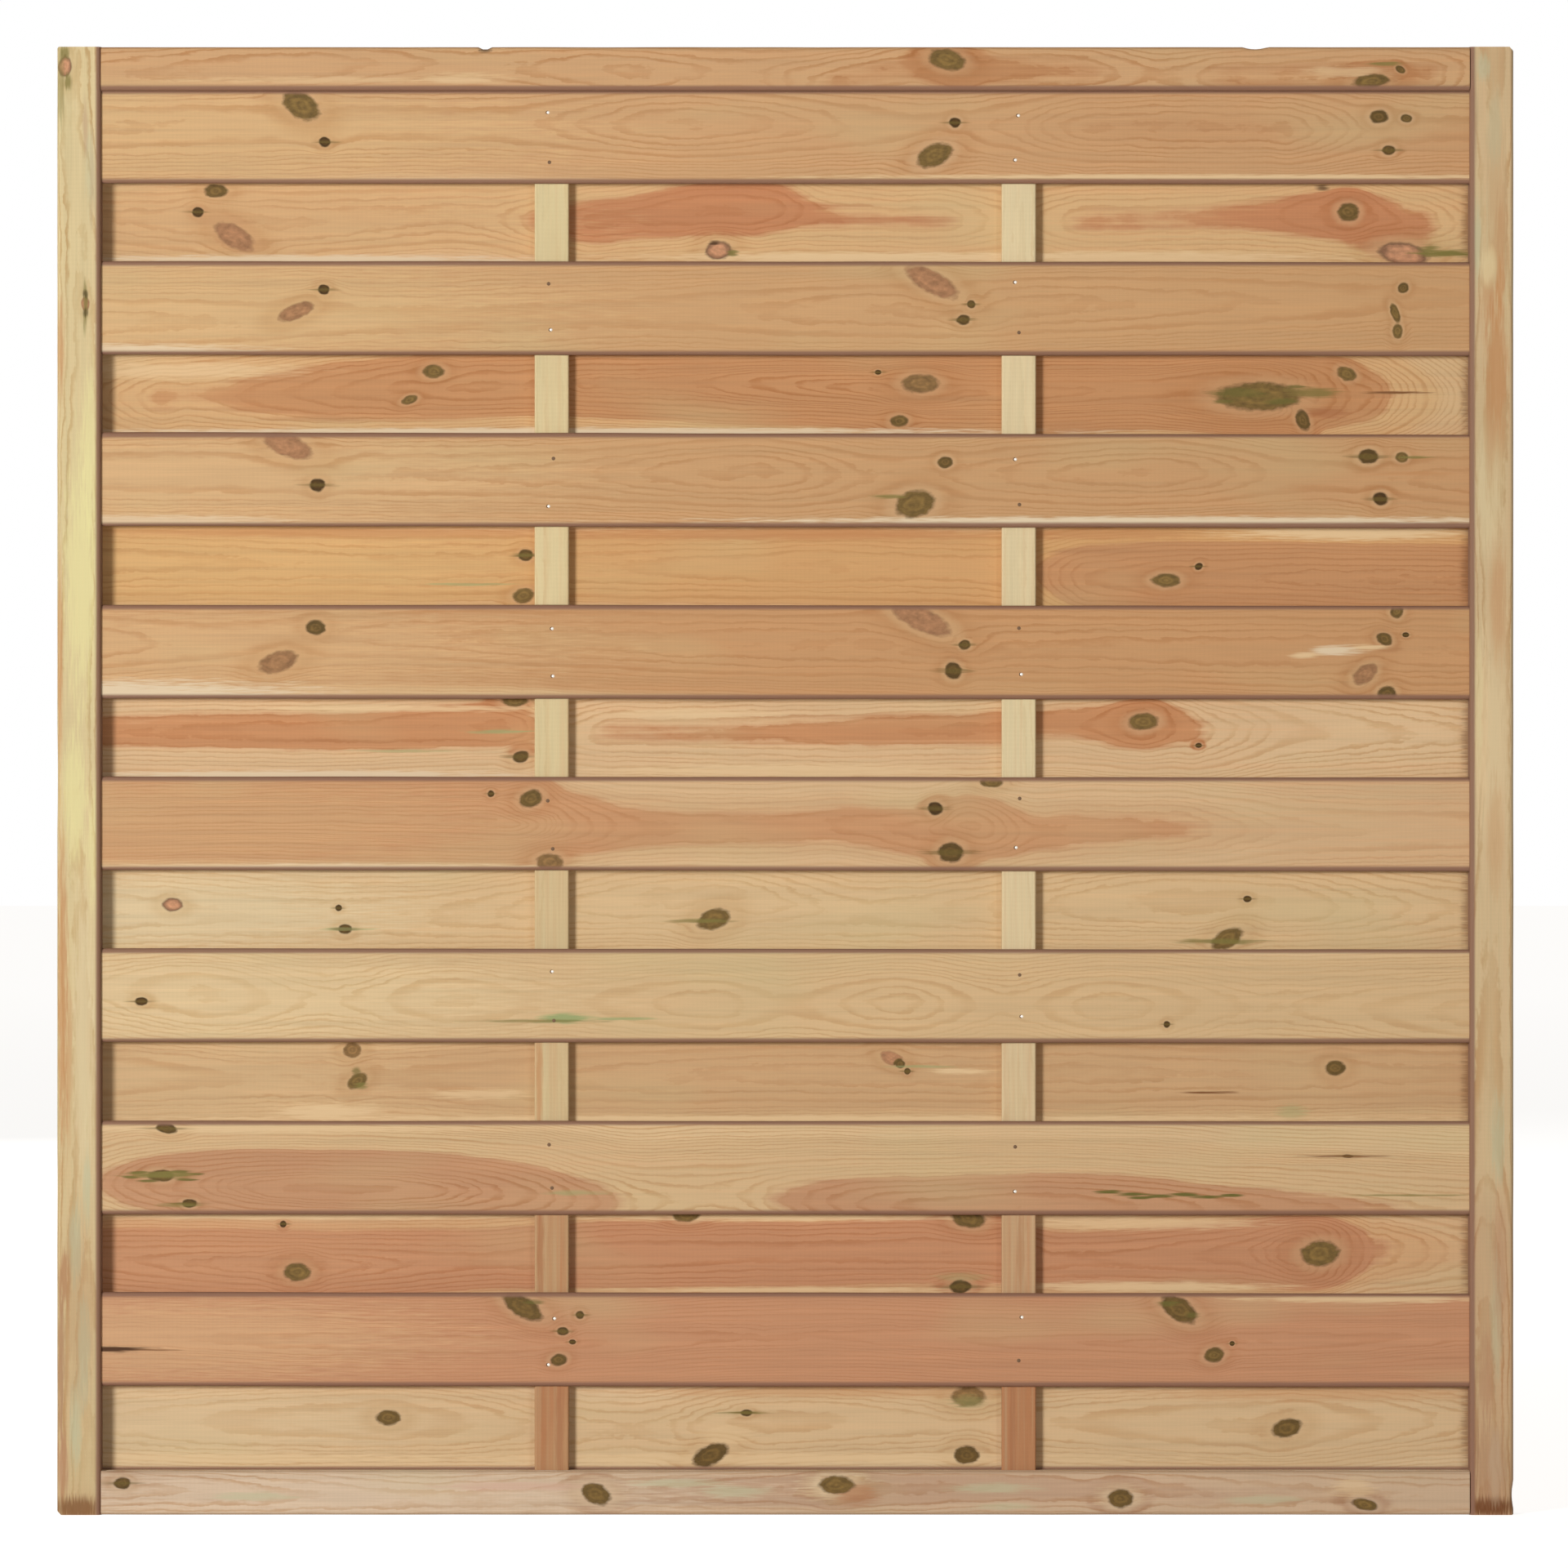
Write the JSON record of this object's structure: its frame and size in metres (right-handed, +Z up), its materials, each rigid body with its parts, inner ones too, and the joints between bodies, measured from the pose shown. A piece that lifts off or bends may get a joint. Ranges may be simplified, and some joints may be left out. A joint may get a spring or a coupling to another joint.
{
  "type": "hit and miss timber fence panel",
  "caption": "Square grooved pine frame holding two staggered layers of thin horizontal boards, nailed to upright battens between the layers.",
  "frame": {"origin": "Foot of the left stile's outer face, at mid depth, where the panel is fixed to its post.", "axes": "+X runs across the panel from the left stile to the right one, +Y from the front boards to the back boards, +Z up."},
  "size_m": [1.786, 0.045, 1.8],
  "materials": {
    "stile_pine": "planed, matt",
    "rail_pine": "planed, matt",
    "batten_pine": "planed, matt",
    "front_board_pine": "planed, matt",
    "back_board_pine": "planed, matt"
  },
  "bodies": {
    "root": {"left_stile": "stile_pine", "right_stile": "stile_pine", "top_rail": "rail_pine", "bottom_rail": "rail_pine", "left_batten": "batten_pine", "right_batten": "batten_pine", "front_board_1": "front_board_pine", "front_board_2": "front_board_pine", "front_board_3": "front_board_pine", "front_board_4": "front_board_pine", "front_board_5": "front_board_pine", "front_board_6": "front_board_pine", "front_board_7": "front_board_pine", "front_board_8": "front_board_pine", "back_board_1": "back_board_pine", "back_board_2": "back_board_pine", "back_board_3": "back_board_pine", "back_board_4": "back_board_pine", "back_board_5": "back_board_pine", "back_board_6": "back_board_pine", "back_board_7": "back_board_pine", "back_board_8": "back_board_pine"}
  },
  "joints": []
}
